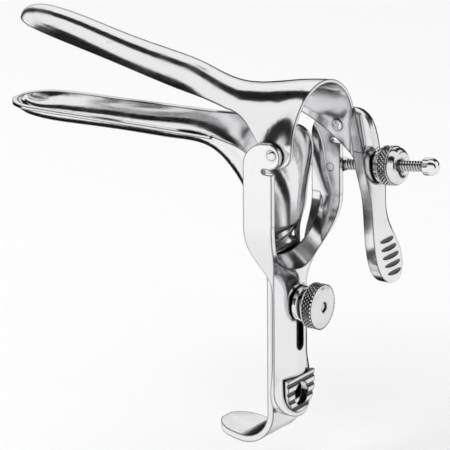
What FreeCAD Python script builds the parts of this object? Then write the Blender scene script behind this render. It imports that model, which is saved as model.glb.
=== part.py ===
"""Bivalve speculum with a hinged upper blade, a sliding lower blade and two screw adjustments.

Millimetres. The origin is the middle of the hinge line between the two yoke arms.
-X points along the blades to their tips, +X back to the user, +Y to the lever side, +Z up.
The blades stand open, as the instrument is shown, and the lower blade is at the top of its slide.
"""

import FreeCAD
import Part
import math
import os

V = FreeCAD.Vector
X_AXIS = V(1, 0, 0)
Y_AXIS = V(0, 1, 0)
Z_AXIS = V(0, 0, 1)

# Sheet thicknesses
frame_sheet = 2.2
blade_sheet = 1.3
lever_sheet = 1.8
stem_sheet = 2.4

# Clearances
face_gap = 0.3
shaft_gap = 0.05
seat_gap = 0.15
dome_flat = 0.25
wall_relief = 0.12
inner_overrun = 5.0

# Yoke frame
frame_half = 23.4
arm_front = -11.5
arm_rear = 0.0
arm_foot = -26.0
ear_centre = (-1.4, -0.9)
ear_radius = 4.6
ear_notch_depth = 4.0
ear_notch_height = 1.8
crotch_bottom = -42.0
crotch_lean = 40.0
handle_half = 10.4
handle_front = -8.0
handle_crown = -3.0
handle_top = -56.0
handle_end = -101.5
bulge_height = -91.0
handle_hole_radius = 4.25
handle_hole_height = -93.3
grip_pad_top = -86.6
grip_groove_count = 4
grip_groove_pitch = 3.1
grip_groove_radius = 0.75
grip_groove_depth = 0.45

# Hinge rivets
rivet_shank = 1.3
rivet_outer_head = 1.75
rivet_inner_head = 1.95
rivet_head_height = 0.8

# Upper blade
upper_length = 118.0
upper_rise = 5.28
upper_slope = 0.19
upper_narrowing = 0.0427
upper_crown = 6.4
tip_round = 14.0
mouth_rear = 6.4
tab_radius = 6.0
throat_leg = 15.0

# Thumb lever
lever_leg = 3.8
lever_top_leg = 2.4
lever_leg_growth = 0.35
lever_overrun = 4.0
lever_crown = 1.5
lever_slot_half = 2.3
lever_slot_reach = 3.3
thumb_groove_count = 5
thumb_groove_top = -41.0
thumb_groove_pitch = 3.1
thumb_groove_radius = 0.8
thumb_groove_depth = 0.55

# Lower blade
lower_length = 121.0
lower_level = 0.82
lower_droop = 0.03
lower_narrowing = 0.033
lower_depth = 6.6
lower_lip = 0.9
lower_lip_thick = 1.1
stem_top = -50.0
stem_root = -44.0
foot_bend_top = -99.5
foot_bend_radius = 11.0
foot_bend = 100.0
foot_reach = 12.0

# Clamp of the lower blade
clamp_height = -60.0
slot_half = 2.15
slot_end_room = 2.1
slide_travel = 13.0
stud_radius = 1.8
stud_square = 3.9
stud_tenon = 1.5
stud_head_radius = 2.8
stud_head_height = 0.8
washer_radius = 6.2
washer_thick = 1.6
washer_edge = 0.35
knob_hub_radius = 4.6
knob_hub_length = 2.7
knob_radius = 8.1
knob_thick = 5.2
knob_edge = 0.5
knob_recess = 0.9

# Angle screw of the upper blade
rod_pivot = (-4.0, -16.4)
rod_lean = 7.7
rod_radius = 1.9
rod_reach = 36.2
rod_eye_radius = 3.1
rod_eye_thick = 3.2
rod_pin_radius = 1.3
rod_pin_head = 2.3
lever_face = 17.15
collar_radius = 6.0
collar_dome = 1.2
collar_thick = 1.6
angle_nut_radius = 7.0
angle_nut_band = 4.2
angle_nut_nose = 2.6
angle_nut_nose_radius = 4.4
cap_radius = 3.1
cap_length = 5.6

# Derived planes
arm_inner = frame_half - frame_sheet
flank_outer = arm_inner - face_gap
flank_inner = flank_outer - blade_sheet
stem_rear = handle_front - face_gap
stem_front = stem_rear - stem_sheet
handle_bulge = handle_half + 1.6
grip_pad_half = handle_half - 1.8
upper_half_root = flank_outer - 7.03
mouth_top = flank_outer + 0.8
lower_half_root = flank_inner - 4.6
stem_half = handle_half - 0.8
rod_offset = frame_half + face_gap + rod_eye_thick / 2


def line(start, end):
    """Return a straight edge."""
    return Part.LineSegment(start, end).toShape()


def arc(start, middle, end):
    """Return a round edge through three points."""
    return Part.Arc(start, middle, end).toShape()


def bow(origin, out, half, depth, leg=0.0):
    """Return a closed wire: an arc across Y that bulges along out, closed on legs of a given length."""
    left = origin - Y_AXIS * half
    right = origin + Y_AXIS * half
    crest = origin + out * depth
    edges = [arc(left, crest, right)]
    if leg > 0:
        left_foot = left - out * leg
        right_foot = right - out * leg
        edges += [line(right, right_foot), line(right_foot, left_foot), line(left_foot, left)]
    else:
        edges += [line(right, left)]
    return Part.Wire(edges)


def loft(wires):
    """Return the smooth solid through closed wires."""
    return Part.makeLoft(wires, True, False)


def prism(edges, direction):
    """Return the solid swept by a closed outline along a straight line."""
    return Part.Face(Part.Wire(edges)).extrude(direction)


def outline(points):
    """Return the straight edges of a closed polygon."""
    return [line(a, b) for a, b in zip(points, points[1:] + points[:1])]


def cylinder(radius, start, axis, length):
    """Return a round bar."""
    return Part.makeCylinder(radius, length, start, axis)


def roundness(distance, length):
    """Return the share of the full width that a round end has at a distance from its tip."""
    return math.sqrt(max(0.0, 1 - (1 - distance / length) ** 2))


def revolved(points, origin, axis, across):
    """Return the solid turned by (along, radius) points about an axis."""
    corners = [origin + axis * along + across * radius for along, radius in points]
    return Part.Face(Part.Wire(outline(corners))).revolve(origin, axis, 360)


def save(name, shape):
    """Write one piece and say what it is."""
    shape = shape.removeSplitter()
    shape.exportStep("parts/%s.step" % name)
    print("%-20s solids %d valid %s volume %.1f" % (name, len(shape.Solids), shape.isValid(), shape.Volume))


# Yoke frame


def yoke_half(share):
    """Return a half width between the handle's, at 0, and the arms', at 1."""
    return handle_half + share * (frame_half - handle_half)


# height, half width, front edge, rear corner, crown
yoke_stations = [
    (arm_foot, frame_half, arm_front, arm_rear - 0.1, arm_rear),
    (arm_foot - 1.0, frame_half, arm_front, arm_rear - 0.1, arm_rear),
    (-32.5, yoke_half(0.915385), -11.5, -0.6, -0.1),
    (-38.5, yoke_half(0.653846), -11.2, -2.2, -0.8),
    (-44.5, yoke_half(0.338462), -9.8, -4.6, -1.8),
    (-50.0, yoke_half(0.107692), -8.3, -6.6, -2.6),
    (handle_top + 1.0, handle_half, handle_front, handle_front + 0.6, handle_crown),
    (handle_top, handle_half, handle_front, handle_front + 0.6, handle_crown),
]
grip_stations = [
    (-78.0, handle_half, handle_front, handle_front + 0.6, handle_crown),
    (-79.0, handle_half, handle_front, handle_front + 0.6, handle_crown),
    (-84.5, handle_half + 0.7, handle_front, handle_front + 1.0, handle_crown),
    (bulge_height, handle_bulge, handle_front, handle_front + 1.5, handle_crown + 0.1),
    (handle_end - 1.0, handle_bulge, handle_front, handle_front + 1.5, handle_crown + 0.1),
]


def wire_of(station, sheet):
    """Return the channel's section at one station. A drawn-in section runs on past the front edge."""
    height, half, front, corner, crown = station
    corner_in = corner - sheet
    leg = corner_in - front + (inner_overrun if sheet else 0.0)
    return bow(V(corner_in, 0, height), X_AXIS, half - sheet, crown - corner, leg)


def channel(stations, sheet=0.0):
    """Return the solid inside a channel that opens forward, drawn in by a sheet thickness."""
    return loft([wire_of(station, sheet) for station in stations])


def crotch(grow):
    """Return the round-bottomed opening between the arms, leaning down to the rear."""
    lean = math.radians(crotch_lean)
    half = arm_inner + grow
    drop = arm_foot - crotch_bottom + grow
    start = arm_front - 15.0
    shift = (start - arm_front) * math.tan(lean)
    low = arm_foot - shift + (arm_front - handle_front) * -math.tan(lean)
    centre = V(start, 0, low)
    ellipse = Part.Ellipse(centre + Y_AXIS * half, centre - Z_AXIS * drop, centre)
    round_edge = Part.ArcOfEllipse(ellipse, 0, math.pi).toShape()
    ends = [vertex.Point for vertex in round_edge.Vertexes]
    lift = Z_AXIS * 60.0
    edges = [round_edge, line(ends[1], ends[1] + lift), line(ends[1] + lift, ends[0] + lift),
             line(ends[0] + lift, ends[0])]
    return prism(edges, V(45.0, 0, -45.0 * math.tan(lean)))


def arm_plate(side):
    """Return one flat arm with its rounded ear and the notch under it."""
    cx, cz = ear_centre
    notch_top = cz - ear_radius + 0.1
    notch_low = notch_top - ear_notch_height
    notch_tip = arm_rear - ear_notch_depth
    notch_end = notch_tip + ear_notch_height / 2
    notch_mid = (notch_top + notch_low) / 2
    crest = V(cx - 1.2, 0, cz + 0.97 * ear_radius)
    front_low = V(arm_front, 0, cz - 3.5)
    edges = [
        line(V(arm_front, 0, arm_foot), front_low),
        arc(front_low, V(arm_front + 2.7, 0, cz + 1.9), crest),
        arc(crest, V(cx + ear_radius, 0, cz), V(cx + 0.3, 0, notch_top)),
        line(V(cx + 0.3, 0, notch_top), V(notch_end, 0, notch_top)),
        arc(V(notch_end, 0, notch_top), V(notch_tip, 0, notch_mid), V(notch_end, 0, notch_low)),
        line(V(notch_end, 0, notch_low), V(arm_rear, 0, notch_low)),
        line(V(arm_rear, 0, notch_low), V(arm_rear, 0, arm_foot)),
        line(V(arm_rear, 0, arm_foot), V(arm_front, 0, arm_foot)),
    ]
    plate = prism(edges, Y_AXIS * frame_sheet)
    plate.translate(V(0, arm_inner if side > 0 else -frame_half, 0))
    return plate


def handle_bar(sheet=0.0):
    """Return the straight length of the channel between the yoke and the grip."""
    top = yoke_stations[-1]
    low = grip_stations[0]
    return Part.makeLoft([wire_of(top, sheet), wire_of(low, sheet)], True, True)


def between_flanges(grow):
    """Return the space between the yoke's flanges, wider by a given amount on each side."""
    right = [V(0, half - frame_sheet + grow, height) for height, half, *_ in yoke_stations]
    left = [V(0, -point.y, point.z) for point in right]
    flank = Part.BSplineCurve()
    flank.interpolate(right)
    mirrored = Part.BSplineCurve()
    mirrored.interpolate(left)
    top = Z_AXIS * 20
    edges = [flank.toShape(), line(right[-1], left[-1]), mirrored.toShape(), line(left[0], left[0] + top),
             line(left[0] + top, right[0] + top), line(right[0] + top, right[0])]
    space = prism(Part.__sortEdges__(edges), X_AXIS * 60)
    space.translate(V(-40, 0, 0))
    return space


def make_yoke():
    """Return the pressed yoke: two arms that run into one channelled handle."""
    outer = channel(yoke_stations).fuse([handle_bar(), channel(grip_stations)])
    inner = channel(yoke_stations, frame_sheet).fuse(
        [handle_bar(frame_sheet), channel(grip_stations, frame_sheet)])
    inner = inner.cut(crotch(frame_sheet))
    body = outer.cut(inner).cut(crotch(0.0).common(between_flanges(0.0)))
    ahead = Part.makeBox(30, 60, 60, V(handle_front - 30, -30, handle_top))
    body = body.cut(between_flanges(wall_relief).common(ahead)).fuse([arm_plate(-1), arm_plate(1)])
    tip = V(0, 0, bulge_height)
    drop = bulge_height - handle_end
    ellipse = Part.Ellipse(tip + Y_AXIS * (handle_bulge + 0.01), tip - Z_AXIS * drop, tip)
    round_edge = Part.ArcOfEllipse(ellipse, 0, math.pi).toShape()
    right, left = [vertex.Point for vertex in round_edge.Vertexes]
    lift = V(0, 0, 130)
    wide = Y_AXIS * 20
    keep = prism([round_edge, line(left, left - wide), line(left - wide, left - wide + lift),
                  line(left - wide + lift, right + wide + lift), line(right + wide + lift, right + wide),
                  line(right + wide, right)], X_AXIS * 40)
    keep.translate(V(-30, 0, 0))
    body = body.common(keep)
    pad_front = handle_crown - frame_sheet / 2
    pad_rear = handle_crown + 0.35
    low_right = V(0, grip_pad_half, bulge_height)
    low_left = V(0, -grip_pad_half, bulge_height)
    high_left = V(0, -grip_pad_half, grip_pad_top)
    high_right = V(0, grip_pad_half, grip_pad_top)
    pad = prism([arc(low_right, V(0, 0, handle_end + 1.6), low_left), line(low_left, high_left),
                 line(high_left, high_right), line(high_right, low_right)], X_AXIS * (pad_rear - pad_front))
    pad.translate(V(pad_front, 0, 0))
    body = body.fuse(pad)
    for index in range(grip_groove_count):
        height = grip_pad_top - 2.0 - index * grip_groove_pitch
        start = V(pad_rear + grip_groove_radius - grip_groove_depth, -handle_bulge, height)
        body = body.cut(cylinder(grip_groove_radius, start, Y_AXIS, 2 * handle_bulge))
    slot_top = clamp_height + slot_end_room
    slot_low = clamp_height - slide_travel - slot_end_room
    slot = Part.makeBox(20, 2 * slot_half, slot_top - slot_low, V(-15, -slot_half, slot_low))
    slot = slot.fuse([cylinder(slot_half, V(-15, 0, slot_top), X_AXIS, 20),
                      cylinder(slot_half, V(-15, 0, slot_low), X_AXIS, 20)])
    body = body.cut(slot)
    body = body.cut(cylinder(handle_hole_radius, V(-15, 0, handle_hole_height), X_AXIS, 20))
    for side in (-1, 1):
        start = V(0, arm_inner - 1 if side > 0 else -frame_half - 1, 0)
        body = body.cut(cylinder(rivet_shank, start, Y_AXIS, frame_sheet + 2))
    body = body.cut(cylinder(rod_pin_radius, V(rod_pivot[0], arm_inner - 1, rod_pivot[1]), Y_AXIS, 6))
    return body


# Upper blade with its thumb lever


# place, rim height, how far narrower than the mouth, how far lower than its top
upper_throat = [
    (-18.0, 8.3, 5.7, 4.4),
    (-12.5, 6.0, 3.0, 3.3),
    (-7.5, 3.0, 0.9, 2.2),
    (-3.0, 1.0, 0.0, 1.3),
    (1.5, 0.3, 0.0, 0.6),
    (mouth_rear, 0.0, 0.0, 0.0),
]


def upper_rim(x):
    """Return the height of the upper blade's edge at a place along it."""
    return upper_rise - upper_slope * x


def upper_stations(sheet):
    """Return origin height, half width and crown height along the upper blade, drawn in by a sheet."""
    length = tip_round - sheet
    end = -upper_length + sheet
    found = []
    for distance in (0.15, 1.2, 3.5, 7.5, length):
        x = end + distance
        share = roundness(distance, length)
        half = upper_half_root - upper_narrowing * (upper_length - tip_round) - sheet
        found.append((x, upper_rim(x), half * share, (upper_crown - sheet) * share))
    for x in (-85.0, -65.0, -45.0, -25.0):
        half = upper_half_root + upper_narrowing * x - sheet
        found.append((x, upper_rim(x), half, upper_crown - sheet))
    for x, rim, narrower, lower in upper_throat:
        half = flank_outer - narrower
        found.append((x, rim, half - sheet, mouth_top - lower - rim - sheet))
    return found


def upper_loft(sheet):
    """Return the solid under the upper blade's skin."""
    wires = []
    for x, rim, half, crown in upper_stations(sheet):
        leg = throat_leg + (3.0 if sheet else 0.0)
        wires.append(bow(V(x, 0, rim), Z_AXIS, half, crown, leg))
    return loft(wires)


def upper_side(side):
    """Return the region that the blade's side view keeps, on one side of the middle."""
    tip = -upper_length - 2
    turn = -25.0
    if side < 0:
        lower = [line(V(tip, 0, upper_rim(tip)), V(turn, 0, upper_rim(turn))),
                 arc(V(turn, 0, upper_rim(turn)), V(-14.2, 0, 7.3), V(-6.6, 0, 0.8)),
                 arc(V(-6.6, 0, 0.8), V(0.1, 0, -tab_radius + 0.4), V(mouth_rear, 0, 0.8)),
                 line(V(mouth_rear, 0, 0.8), V(mouth_rear + 5, 0, 0.8))]
        end = V(mouth_rear + 5, 0, 0.8)
    else:
        end = V(mouth_rear + 5, 0, -13.5)
        lower = [line(V(tip, 0, upper_rim(tip)), V(turn, 0, upper_rim(turn))),
                 arc(V(turn, 0, upper_rim(turn)), V(-15.0, 0, 4.9), V(-6.5, 0, -0.9)),
                 line(V(-6.5, 0, -0.9), end)]
    high = 40.0
    lower += [line(end, V(end.x, 0, high)), line(V(end.x, 0, high), V(tip, 0, high)),
              line(V(tip, 0, high), V(tip, 0, upper_rim(tip)))]
    return prism(lower, Y_AXIS * (30 * side))


# height, left edge from the flank's inner face, right edge from the frame's side, ridge
lever_stations = [
    (5.6, 0.0, -1.1, 7.2),
    (2.0, 0.0, 1.8, 8.2),
    (-3.5, 0.0, 5.0, 9.2),
    (-8.6, -0.4, 7.2, 10.4),
    (-14.0, -0.9, 8.0, 11.5),
    (-22.0, -0.4, 6.8, 13.3),
    (-30.0, 0.0, 5.6, 14.2),
    (-36.0, 0.0, 7.2, 14.6),
    (-41.0, 0.0, 10.0, 15.0),
    (-46.0, 0.3, 12.6, 15.5),
    (-51.0, 1.7, 13.8, 15.9),
    (-55.0, 4.6, 13.0, 16.2),
    (-57.4, 8.6, 9.6, 16.3),
]


def lever_loft(sheet):
    """Return the solid inside the lever's crowned channel, drawn in by a sheet thickness."""
    wires = []
    chosen = lever_stations[1:-1] if sheet else lever_stations
    top = lever_stations[0][0]
    for height, inset, outset, ridge in chosen:
        left = flank_inner + inset
        right = round(frame_half + outset, 6)
        middle = (left + right) / 2
        half = (right - left) / 2 - sheet
        leg = min(lever_leg, lever_top_leg + lever_leg_growth * (top - height))
        leg += lever_overrun if sheet else 0.0
        crown = lever_crown * min(1.0, (right - left) / 10.0)
        wires.append(bow(V(ridge - sheet, middle, height), X_AXIS, half, crown, leg))
    return loft(wires)


def make_web():
    """Return the flat sheet by which the right flank meets the lever, kept inside the lever's outline."""
    front = mouth_rear - 0.5
    top_front = V(front, 0, 6.0)
    top_rear = V(9.0, 0, 5.0)
    bend = V(11.0, 0, -6.0)
    low_rear = V(10.0, 0, -12.5)
    low_front = V(front, 0, -9.8)
    web = prism([line(top_front, top_rear), line(top_rear, bend), line(bend, low_rear),
                 line(low_rear, low_front), line(low_front, top_front)], Y_AXIS * blade_sheet)
    web.translate(Y_AXIS * flank_inner)
    gap_to_lever = Part.makeBox(6.0, 4.0, 18.0, V(mouth_rear - 1.0, flank_inner - 0.5, -12.5))
    return web.common(lever_loft(0.0).fuse(gap_to_lever))


def make_upper_blade():
    """Return the upper blade, its mouth, both hinge flanks and the thumb lever as one pressed piece."""
    blade = upper_loft(0.0).cut(upper_loft(blade_sheet))
    blade = blade.common(upper_side(-1).fuse(upper_side(1)))
    lever = lever_loft(0.0).cut(lever_loft(lever_sheet))
    blade = blade.fuse([lever, make_web()])
    for side in (-1, 1):
        start = V(0, flank_inner - 1 if side > 0 else -flank_outer - 1, 0)
        blade = blade.cut(cylinder(rivet_shank + shaft_gap, start, Y_AXIS, blade_sheet + 2))
    lean = math.radians(rod_lean)
    along = V(math.cos(lean), 0, math.sin(lean))
    face = V(rod_pivot[0], rod_offset, rod_pivot[1]) + along * lever_face
    for rise in (-1, 1):
        start = face + Z_AXIS * (rise * (lever_slot_reach - lever_slot_half)) - X_AXIS * 8
        blade = blade.cut(cylinder(lever_slot_half, start, X_AXIS, 14))
    for index in range(thumb_groove_count):
        height = thumb_groove_top - index * thumb_groove_pitch
        ridge = 15.0 + lever_crown + 0.09 * (thumb_groove_top - height)
        start = V(ridge + thumb_groove_radius - thumb_groove_depth, flank_inner, height)
        blade = blade.cut(cylinder(thumb_groove_radius, start, Y_AXIS, 20))
    return blade


# Lower blade


# rim place and height, belly place and height, share of the width between the stem's and the mouth's
lower_throat = [
    (-30.0, 0.0, -31.6, -10.2, 0.52),
    (-21.0, -0.7, -26.8, -14.0, 0.72),
    (-13.5, -2.2, -22.4, -18.6, 0.90),
    (-9.6, -7.0, -18.9, -24.2, 0.93),
    (-9.0, -15.0, -16.0, -30.6, 0.76),
    (-9.0, -24.0, -13.8, -36.6, 0.46),
    (-9.4, -33.0, -12.6, -40.0, 0.17),
    (-9.3, -40.5, -11.8, -44.8, 0.03),
    (-9.0, -45.5, -11.2, -47.6, 0.01),
]


def lower_rim(x):
    """Return the height of the lower blade's edge at a place along it."""
    return lower_level + lower_droop * x


def lower_stations(sheet):
    """Return rim place, outward direction, half width and depth from tip to stem, drawn in by a sheet."""
    length = tip_round - sheet
    end = -lower_length + sheet
    down = V(0, 0, -1)
    found = []
    for distance in (0.15, 1.2, 3.5, 7.5, length):
        x = end + distance
        share = roundness(distance, length)
        half = lower_half_root - lower_narrowing * (lower_length - tip_round) - sheet
        found.append((V(x, 0, lower_rim(x)), down, half * share, (lower_depth - sheet) * share))
    for x in (-85.0, -65.0, -46.0):
        half = lower_half_root + lower_narrowing * x - sheet
        found.append((V(x, 0, lower_rim(x)), down, half, lower_depth - sheet))
    for x, z, belly_x, belly_z, share in lower_throat[:-1] if sheet else lower_throat:
        half = stem_half + share * (flank_inner - stem_half)
        rim = V(x, 0, z)
        belly = V(belly_x, 0, belly_z)
        reach = (belly - rim).Length - sheet
        found.append((rim, (belly - rim).normalize(), half - sheet, reach))
    return found


def make_lower_blade():
    """Return the lower blade: trough, throat, stem and curled foot as one piece."""
    sections = [bow(*station) for station in lower_stations(0.0)]
    sections.append(bow(V(stem_rear - 0.4, 0, stem_top), V(-1, 0, 0), stem_half, stem_sheet - 0.4))
    outer = loft(sections)
    inner_sections = [bow(*station, 3.0) for station in lower_stations(blade_sheet)]
    lips = []
    for rim, out, half, depth in lower_stations(0.0):
        if rim.x > -29:
            break
        lip = min(lower_lip, half * 0.2) * (1.0 if rim.x < -40 else 0.5)
        lift = Z_AXIS * 0.1
        a = rim + lift - Y_AXIS * (half + lip)
        b = rim + lift + Y_AXIS * (half + lip)
        drop = V(0, 0, -min(lower_lip_thick, depth * 0.6))
        lips.append(Part.Wire([line(a, b), line(b, b + drop), line(b + drop, a + drop), line(a + drop, a)]))
    blade = outer.fuse(loft(lips)).cut(loft(inner_sections))
    turn = V(stem_front - foot_bend_radius + stem_sheet / 2, 0, foot_bend_top)
    outer_r = foot_bend_radius + stem_sheet / 2
    inner_r = foot_bend_radius - stem_sheet / 2
    finish = math.radians(foot_bend)

    def around(radius, angle):
        return turn + V(radius * math.cos(angle), 0, -radius * math.sin(angle))

    rise = V(-math.sin(finish), 0, -math.cos(finish)) * foot_reach
    low_end = around(outer_r, finish) + rise
    high_end = around(inner_r, finish) + rise
    rear_top = V(stem_rear, 0, stem_root)
    front_top = V(stem_front, 0, stem_root)
    edges = [line(rear_top, around(outer_r, 0.0)),
             arc(around(outer_r, 0.0), around(outer_r, finish / 2), around(outer_r, finish)),
             line(around(outer_r, finish), low_end),
             line(low_end, high_end),
             line(high_end, around(inner_r, finish)),
             arc(around(inner_r, finish), around(inner_r, finish / 2), around(inner_r, 0.0)),
             line(around(inner_r, 0.0), front_top),
             line(front_top, rear_top)]
    stem = prism(edges, Y_AXIS * (2 * stem_half))
    stem.translate(Y_AXIS * -stem_half)
    round_centre = V(low_end.x + stem_half, 0, 0)
    plan = cylinder(stem_half, round_centre - Z_AXIS * 130, Z_AXIS, 100).fuse(
        Part.makeBox(60, 2 * stem_half, 100, V(round_centre.x, -stem_half, -130)))
    stem = stem.common(plan)
    blade = blade.fuse(stem)
    blade = blade.cut(cylinder(stud_tenon, V(stem_front - 5, 0, clamp_height), X_AXIS, 10))
    return blade


# Rivets, clamp and screws


def make_hinge_rivet(side):
    """Return one hinge rivet, headed outside the arm and inside the blade's flank."""
    axis = Y_AXIS * side
    outer = V(0, side * frame_half, 0)
    inner = V(0, side * (flank_inner - seat_gap), 0)
    shank = cylinder(rivet_shank, inner, axis, frame_half - flank_inner + seat_gap)
    heads = [button_head(rivet_outer_head, outer, axis), button_head(rivet_inner_head, inner, -axis)]
    return shank.fuse(heads)


def button_head(radius, seat, axis, height=rivet_head_height):
    """Return a low domed head that stands on its seat."""
    across = Z_AXIS
    rim = seat + across * radius + axis * (height * 0.25)
    middle = seat + across * (radius * 0.72) + axis * (height * 0.82)
    crown = seat + across * dome_flat + axis * height
    centre = seat + axis * height
    edges = [line(seat, seat + across * radius), line(seat + across * radius, rim), arc(rim, middle, crown),
             line(crown, centre), line(centre, seat)]
    return Part.Face(Part.Wire(edges)).revolve(seat, axis, 360)


def make_clamp_stud():
    """Return the clamp stud: a headed tenon in the stem, a square in the slot and a round screw."""
    centre = V(0, 0, clamp_height)
    tenon = cylinder(stud_tenon, centre + X_AXIS * stem_front, X_AXIS, stem_sheet)
    head = button_head(stud_head_radius, centre + X_AXIS * stem_front, -X_AXIS, stud_head_height)
    square_length = handle_crown - seat_gap - stem_rear
    square = Part.makeBox(square_length, stud_square, stud_square,
                          V(stem_rear, -stud_square / 2, clamp_height - stud_square / 2))
    screw_start = handle_crown - seat_gap
    screw_length = knob_rear() - knob_recess - screw_start
    screw = cylinder(stud_radius, centre + X_AXIS * screw_start, X_AXIS, screw_length)
    return tenon.fuse([head, square, screw])


def knob_front():
    """Return where the knob's hub starts behind the washer."""
    return handle_crown + face_gap + washer_thick + seat_gap


def knob_rear():
    """Return the plane of the knob's rear face."""
    return knob_front() + knob_hub_length + knob_thick


def make_clamp_washer():
    """Return the clamp washer between the handle's crown and the knob."""
    start = V(handle_crown + face_gap, 0, clamp_height)
    disc = cylinder(washer_radius, start, X_AXIS, washer_thick)
    rear = start.x + washer_thick
    rear_edges = [edge for edge in disc.Edges if abs(edge.CenterOfMass.x - rear) < 0.01]
    disc = disc.makeChamfer(washer_edge, rear_edges)
    return disc.cut(cylinder(stud_radius + shaft_gap, start - X_AXIS, X_AXIS, washer_thick + 2))


def make_clamp_knob():
    """Return the round clamp nut: a hub, a wide rim with broken edges and a bore right through."""
    centre = V(0, 0, clamp_height)
    hub_end = knob_front() + knob_hub_length
    rear = knob_rear()
    profile = [(knob_front(), 0), (knob_front(), knob_hub_radius), (hub_end, knob_hub_radius),
               (hub_end, knob_radius - knob_edge), (hub_end + knob_edge, knob_radius),
               (rear - 2 * knob_edge, knob_radius), (rear, knob_radius - knob_edge), (rear, 0)]
    knob = revolved(profile, centre, X_AXIS, Z_AXIS)
    return knob.cut(cylinder(stud_radius + shaft_gap, centre + X_AXIS * (knob_front() - 1), X_AXIS, 12))


def rod_frame():
    """Return the pivot of the angle rod and its direction to the rear."""
    lean = math.radians(rod_lean)
    return V(rod_pivot[0], rod_offset, rod_pivot[1]), V(math.cos(lean), 0, math.sin(lean))


def make_rod_pivot():
    """Return the rivet on which the angle rod swivels outside the right arm."""
    centre = V(rod_pivot[0], arm_inner, rod_pivot[1])
    eye_outer = rod_offset + rod_eye_thick / 2 + seat_gap
    pin = cylinder(rod_pin_radius, centre, Y_AXIS, eye_outer - arm_inner)
    seat = V(rod_pivot[0], eye_outer, rod_pivot[1])
    return pin.fuse(button_head(rod_pin_head, seat, Y_AXIS, 1.0))


def make_angle_rod():
    """Return the screw rod with its flattened eye."""
    pivot, along = rod_frame()
    low = rod_eye_thick / 2
    eye = cylinder(rod_eye_radius, pivot - Y_AXIS * low, Y_AXIS, rod_eye_thick)
    across = along.cross(Y_AXIS)
    neck_start, neck_end = pivot, pivot + along * 6.5
    corners = [neck_start + across * rod_eye_radius, neck_start - across * rod_eye_radius,
               neck_end - across * rod_radius, neck_end + across * rod_radius]
    neck = prism(outline(corners), Y_AXIS * rod_eye_thick)
    neck.translate(Y_AXIS * -low)
    bar = cylinder(rod_radius, pivot + along * 5.4, along, rod_reach - 5.4)
    rod = eye.fuse([neck, bar])
    return rod.cut(cylinder(rod_pin_radius + shaft_gap, pivot - Y_AXIS * 5, Y_AXIS, 10))


def make_rod_cap():
    """Return the bullet-shaped stop riveted on the end of the rod."""
    pivot, along = rod_frame()
    across = along.cross(Y_AXIS)
    start = pivot + along * rod_reach
    straight = cap_length * 0.5

    def at(reach, radius):
        return start + along * reach + across * radius

    edges = [line(at(0, 0), at(0, cap_radius - 0.4)), line(at(0, cap_radius - 0.4), at(0.4, cap_radius)),
             line(at(0.4, cap_radius), at(straight, cap_radius)),
             arc(at(straight, cap_radius), at(straight + cap_length * 0.36, cap_radius * 0.68),
                 at(cap_length, dome_flat)),
             line(at(cap_length, dome_flat), at(cap_length, 0)), line(at(cap_length, 0), at(0, 0))]
    return Part.Face(Part.Wire(edges)).revolve(start, along, 360)


def make_angle_collar():
    """Return the domed collar that bears on the lever."""
    pivot, along = rod_frame()
    across = along.cross(Y_AXIS)
    tip = lever_face + face_gap

    def at(reach, radius):
        return pivot + along * (tip + reach) + across * radius

    rear = collar_dome + collar_thick
    edges = [arc(at(0, 0), at(collar_dome * 0.25, collar_radius * 0.5), at(collar_dome, collar_radius)),
             line(at(collar_dome, collar_radius), at(rear, collar_radius)),
             line(at(rear, collar_radius), at(rear, 0)), line(at(rear, 0), at(0, 0))]
    collar = Part.Face(Part.Wire(edges)).revolve(pivot, along, 360)
    return collar.cut(cylinder(rod_radius + shaft_gap, pivot, along, 40))


def make_angle_nut():
    """Return the round angle nut: a wide band and a domed rear."""
    pivot, along = rod_frame()
    across = along.cross(Y_AXIS)
    front = lever_face + face_gap + collar_dome + collar_thick + seat_gap

    def at(reach, radius):
        return pivot + along * (front + reach) + across * radius

    rear = angle_nut_band + angle_nut_nose
    rim = angle_nut_radius - knob_edge
    shoulder = at(angle_nut_band, angle_nut_radius)
    edges = [line(at(0, 0), at(0, rim)), line(at(0, rim), at(knob_edge, angle_nut_radius)),
             line(at(knob_edge, angle_nut_radius), shoulder),
             arc(shoulder, at(angle_nut_band + angle_nut_nose * 0.7, angle_nut_radius * 0.86),
                 at(rear, angle_nut_nose_radius)),
             line(at(rear, angle_nut_nose_radius), at(rear, 0)), line(at(rear, 0), at(0, 0))]
    nut = Part.Face(Part.Wire(edges)).revolve(pivot, along, 360)
    return nut.cut(cylinder(rod_radius + shaft_gap, pivot, along, 40))


def main():
    """Write every piece."""
    os.makedirs("parts", exist_ok=True)
    save("yoke_frame", make_yoke())
    save("upper_blade", make_upper_blade())
    save("lower_blade", make_lower_blade())
    save("hinge_rivet_left", make_hinge_rivet(-1))
    save("hinge_rivet_right", make_hinge_rivet(1))
    save("clamp_stud", make_clamp_stud())
    save("clamp_washer", make_clamp_washer())
    save("clamp_knob", make_clamp_knob())
    save("rod_pivot", make_rod_pivot())
    save("angle_rod", make_angle_rod())
    save("rod_cap", make_rod_cap())
    save("angle_collar", make_angle_collar())
    save("angle_nut", make_angle_nut())


main()
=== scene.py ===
"""Looks of a bivalve speculum in polished steel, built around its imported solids.

Metres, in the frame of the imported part: the origin is the middle of the hinge line,
-X points along the blades, +X back to the user, +Y to the lever side and +Z up.
"""

import logging
import math
from dataclasses import dataclass, field
from enum import Enum
from typing import Callable

import bmesh
import bpy
from mathutils import Matrix, Vector


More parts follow.
